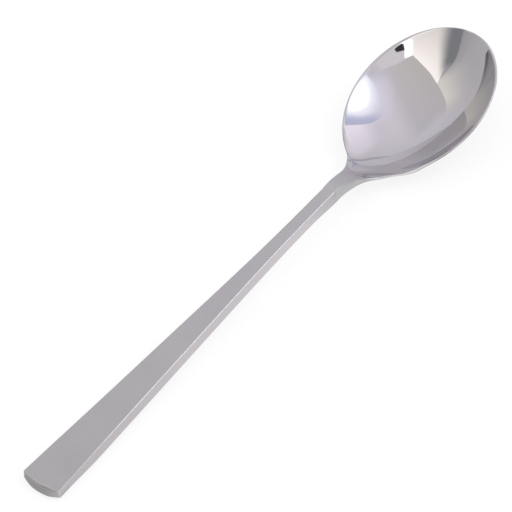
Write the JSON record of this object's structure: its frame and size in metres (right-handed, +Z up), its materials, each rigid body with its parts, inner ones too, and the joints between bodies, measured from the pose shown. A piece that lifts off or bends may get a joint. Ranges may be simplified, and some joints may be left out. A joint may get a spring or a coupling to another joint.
{
  "type": "soup spoon",
  "caption": "Soup spoon with a shallow pitched oval bowl, a dipped neck and a long flat tapered hollow handle with a shallow arched butt.",
  "frame": {"origin": "middle of the spoon's footprint, on the surface that its bowl and its butt rest on", "axes": "+X from the butt of the handle to the tip of the bowl, +Y to the spoon's left, +Z up, with the hollow of the bowl facing up"},
  "size_m": [0.2044, 0.0436, 0.0208],
  "materials": {
    "polished_steel": "mirror polished stainless steel",
    "satin_steel": "satin stainless steel"
  },
  "bodies": {
    "root": {"bowl": "polished_steel", "handle_upper_shell": "satin_steel", "handle_lower_shell": "satin_steel"}
  },
  "joints": []
}
